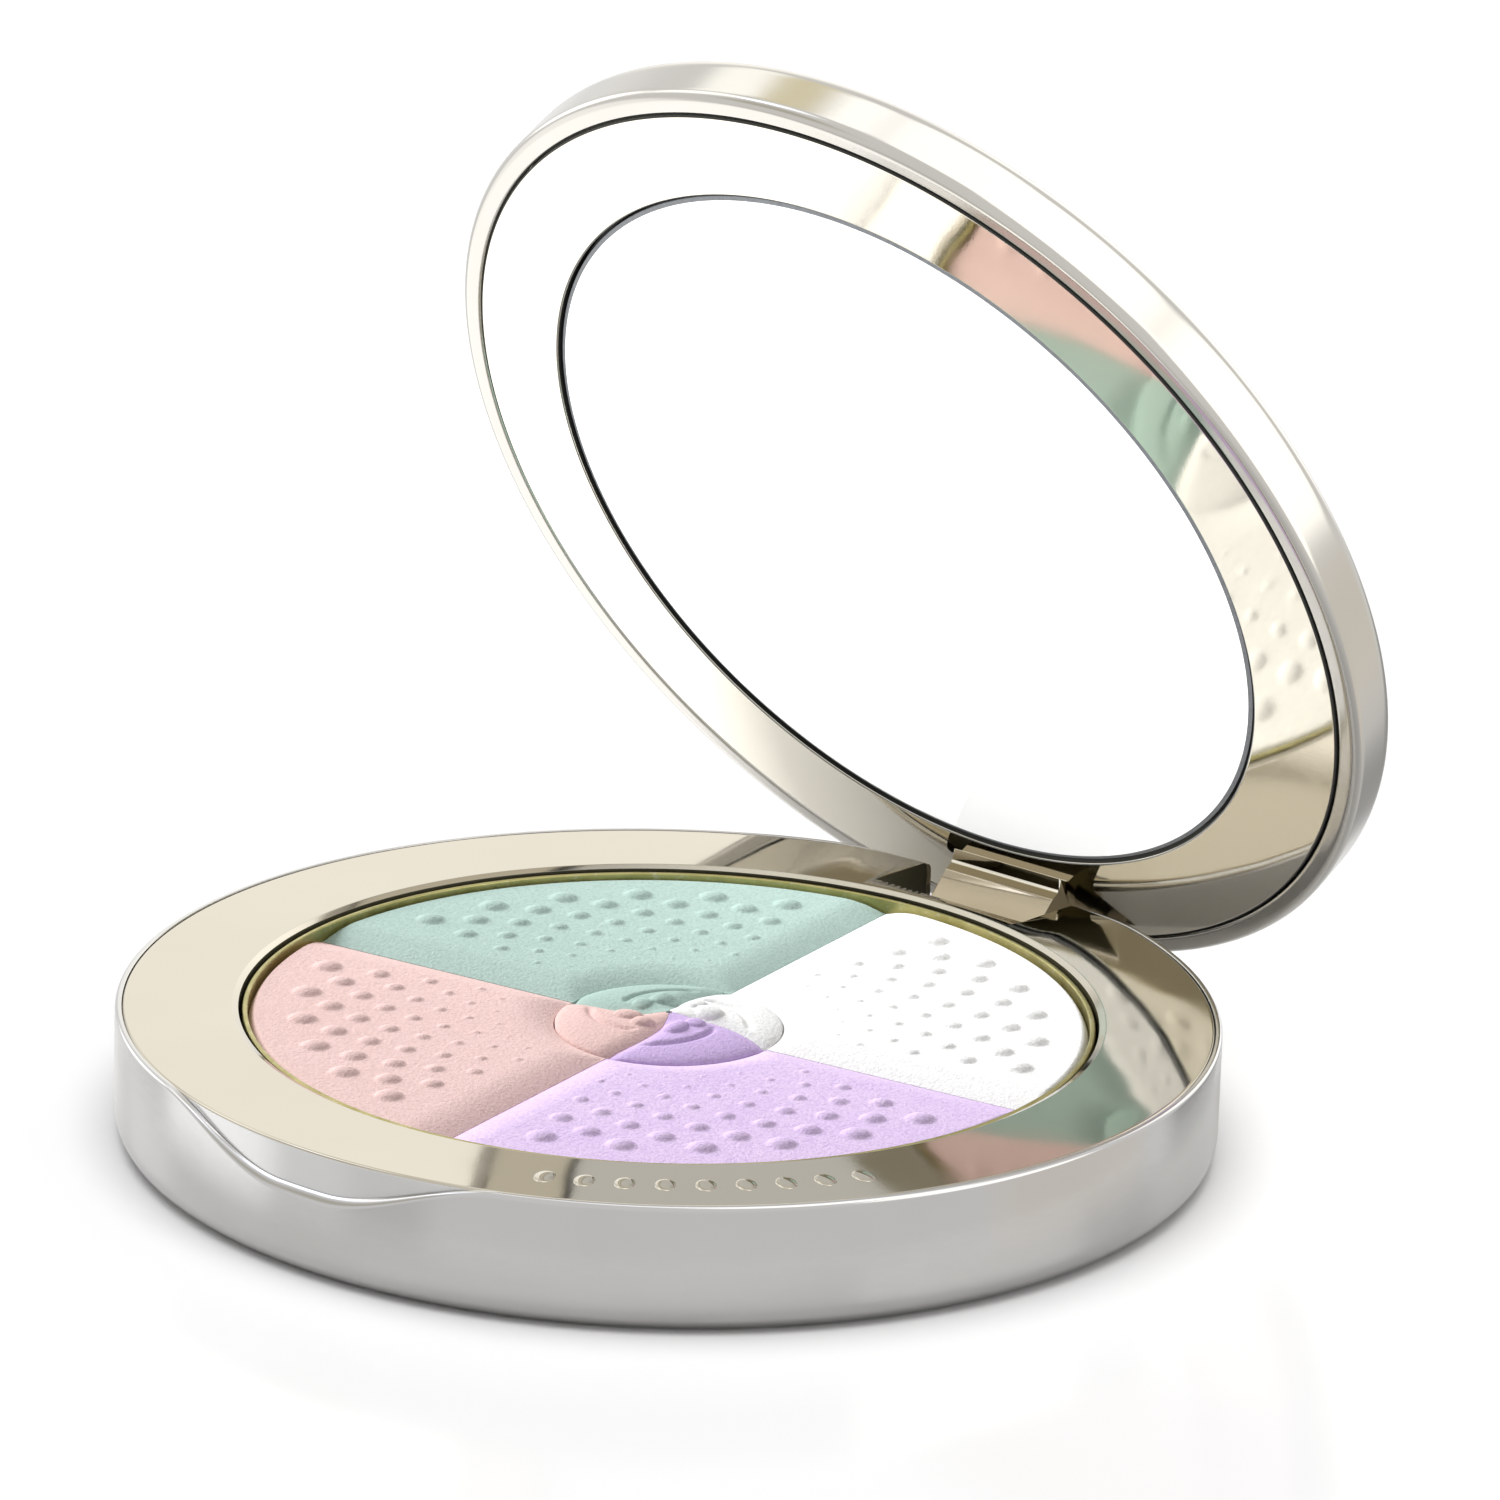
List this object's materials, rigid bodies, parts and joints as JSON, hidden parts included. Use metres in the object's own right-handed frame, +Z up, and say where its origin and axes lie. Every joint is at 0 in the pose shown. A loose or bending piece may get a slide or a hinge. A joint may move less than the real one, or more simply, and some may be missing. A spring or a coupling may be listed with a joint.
{
  "type": "powder compact",
  "caption": "Round hinged mirror compact, lid half open, with a pan of pressed powders in four quarters round a domed centre and a finger dip in the front rim.",
  "frame": {"origin": "centre of the flat underside, on the surface the compact stands on", "axes": "+Z up out of the powder, +Y towards the hinge, -Y towards the finger dip, +X along the hinge axis"},
  "size_m": [0.08, 0.0869, 0.0771],
  "materials": {
    "satin_silver": "satin silver",
    "champagne": "vacuum-metallised champagne, polished",
    "pan_metal": "gold-coloured pressed sheet",
    "steel": "ground pin",
    "magnet": "nickel-plated magnet",
    "mirror": "silvered glass",
    "nylon": "natural nylon",
    "adhesive": "double-sided adhesive pad",
    "label": "blank film label",
    "powder_mint": "pressed powder, mint",
    "powder_white": "pressed powder, white",
    "powder_lilac": "pressed powder, lilac",
    "powder_pink": "pressed powder, pink"
  },
  "bodies": {
    "base": {"base_shell": "satin_silver", "base_label": "label", "base_tray": "champagne", "hinge_pin_left": "steel", "hinge_pin_right": "steel", "base_magnet_left": "magnet", "base_magnet_right": "magnet", "pan_adhesive": "adhesive", "powder_pan": "pan_metal", "powder_mint": "powder_mint", "powder_white": "powder_white", "powder_lilac": "powder_lilac", "powder_pink": "powder_pink", "centre_lobe_mint": "powder_mint", "centre_lobe_white": "powder_white", "centre_lobe_lilac": "powder_lilac", "centre_lobe_pink": "powder_pink"},
    "lid": {"lid_shell": "satin_silver", "mirror_frame": "champagne", "mirror_glass": "mirror", "mirror_adhesive": "adhesive", "hinge_sleeve_left": "nylon", "hinge_sleeve_right": "nylon", "lid_magnet_left": "magnet", "lid_magnet_right": "magnet"}
  },
  "joints": [
    {"name": "lid_hinge", "type": "hinge", "parent": "base", "child": "lid", "pos_m": [0, 0.0368, 0.0043], "axis": [-1, 0, 0], "range_deg": [-63.3, 31.7]}
  ]
}
